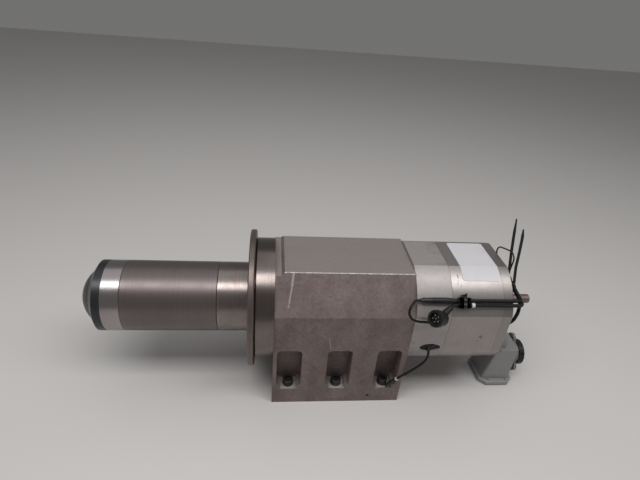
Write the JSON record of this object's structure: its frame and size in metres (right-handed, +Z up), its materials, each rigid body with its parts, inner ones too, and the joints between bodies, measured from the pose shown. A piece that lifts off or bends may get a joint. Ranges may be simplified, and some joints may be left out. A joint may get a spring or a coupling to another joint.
{
  "type": "motor spindle",
  "caption": "Foot-mounted motor spindle: cast housing, long round nose quill with flange disc and cap, flanged motor with sensor leads behind.",
  "frame": {"origin": "on the foot face, under the spindle axis, in the middle of the six foot screws", "axes": "+X along the spindle axis from the nose to the rear, +Z up from the foot face"},
  "size_m": [0.7989, 0.2482, 0.3332],
  "materials": {
    "casting": "fine cast skin, machined on the foot and pads",
    "ground_steel": "ground and lightly stained",
    "disc_steel": "dark, rust tinted",
    "dark_sleeve": "satin dark grey",
    "bright_ring": "turned bright",
    "black_ring": "black oxide",
    "cap": "moulded black plastic",
    "bearing_steel": "polished",
    "shaft_steel": "ground",
    "spring_steel": "phosphated",
    "seal": "moulded",
    "motor_cast": "turned and slightly blasted",
    "laminations": "stacked sheet",
    "copper": "enamelled wire",
    "cage_cast": "cast",
    "black_steel": "black oxide",
    "cylinder_black": "satin black",
    "red_fitting": "red-brown coating",
    "lead_black": "jacket",
    "tape_black": "wrapped tape",
    "connector_metal": "nickel plated",
    "insert_black": "moulded",
    "box_grey": "smooth grey paint",
    "flange_grey": "light grey"
  },
  "bodies": {
    "root": {"spindle_housing": "casting", "foot_screws": "black_steel", "front_collar": "ground_steel", "flange_disc": "disc_steel", "disc_screws": "black_steel", "quill": "ground_steel", "nose_sleeve": "dark_sleeve", "front_ring": "bright_ring", "front_ring_screws": "black_steel", "shaft_seal": "seal", "labyrinth_ring": "black_ring", "front_outer_rings": "bearing_steel", "outer_spacer": "shaft_steel", "rear_outer_rings": "bearing_steel", "motor_adapter": "motor_cast", "adapter_screws": "black_steel", "motor_housing": "motor_cast", "motor_end_plate": "motor_cast", "end_plate_screws": "black_steel", "stator_core": "laminations", "stator_windings": "copper", "release_cylinder": "cylinder_black", "rear_fitting": "red_fitting", "cable_grommet": "seal", "motor_leads": "lead_black", "lead_sleeves": "tape_black", "cable_ties": "insert_black", "inline_socket": "tape_black", "inline_plug": "insert_black", "upper_sensor": "insert_black", "thin_lead": "lead_black", "round_connector": "tape_black", "round_connector_pins": "connector_metal", "port_insert": "insert_black", "free_lead": "lead_black", "free_lead_tie": "insert_black", "free_lead_plug": "insert_black", "connector_box": "box_grey", "box_lid": "box_grey", "socket_flange": "flange_grey", "socket_pins": "insert_black", "socket_screws": "connector_metal"},
    "spindle": {"spindle_shaft": "shaft_steel", "front_inner_rings": "bearing_steel", "inner_spacer": "shaft_steel", "bearing_nut": "black_steel", "rear_inner_rings": "bearing_steel", "rotor_core": "laminations", "rotor_end_rings": "cage_cast", "guide_bush": "red_fitting", "disc_springs": "spring_steel"},
    "rolling_sets": {"front_balls": "bearing_steel", "rear_rollers": "bearing_steel"},
    "drawbar": {"drawbar": "shaft_steel", "gripper_segments": "bearing_steel", "spring_nut": "black_steel"},
    "release_piston": {"release_piston": "shaft_steel"},
    "nose_cap": {"nose_cap": "cap"},
    "connector_ring": {"round_connector_ring": "cylinder_black"},
    "socket_ring": {"socket_ring": "cylinder_black"}
  },
  "joints": [
    {"name": "spindle_turn", "type": "hinge", "parent": "root", "child": "spindle", "pos_m": [-0.4115, 0, 0.162], "axis": [1, 0, 0], "continuous": true},
    {"name": "rolling_sets_turn", "type": "hinge", "parent": "root", "child": "rolling_sets", "pos_m": [-0.4115, 0, 0.162], "axis": [1, 0, 0], "continuous": true},
    {"name": "drawbar_slide", "type": "slide", "parent": "spindle", "child": "drawbar", "axis": [-1, 0, 0], "range_m": [0, 0.006], "stiffness_N_per_m": 40000, "springref_m": -0.002, "deforming": ["disc_springs"]},
    {"name": "release_piston_slide", "type": "slide", "parent": "root", "child": "release_piston", "axis": [-1, 0, 0], "range_m": [0, 0.006]},
    {"name": "nose_cap_pull", "type": "slide", "parent": "spindle", "child": "nose_cap", "axis": [-1, 0, 0], "range_m": [0, 0.06]},
    {"name": "connector_ring_turn", "type": "hinge", "parent": "root", "child": "connector_ring", "pos_m": [0.1395, -0.11618, 0.21208], "axis": [-0.8111, -0.4606, 0.3605], "continuous": true},
    {"name": "socket_ring_turn", "type": "hinge", "parent": "root", "child": "socket_ring", "pos_m": [0.362, -0.029, 0.054], "axis": [1, 0, 0], "continuous": true}
  ],
  "couplings": [
    {"joint": "rolling_sets_turn", "follows": "spindle_turn", "ratio": 0.43},
    {"joint": "release_piston_slide", "follows": "drawbar_slide", "ratio": 1}
  ]
}
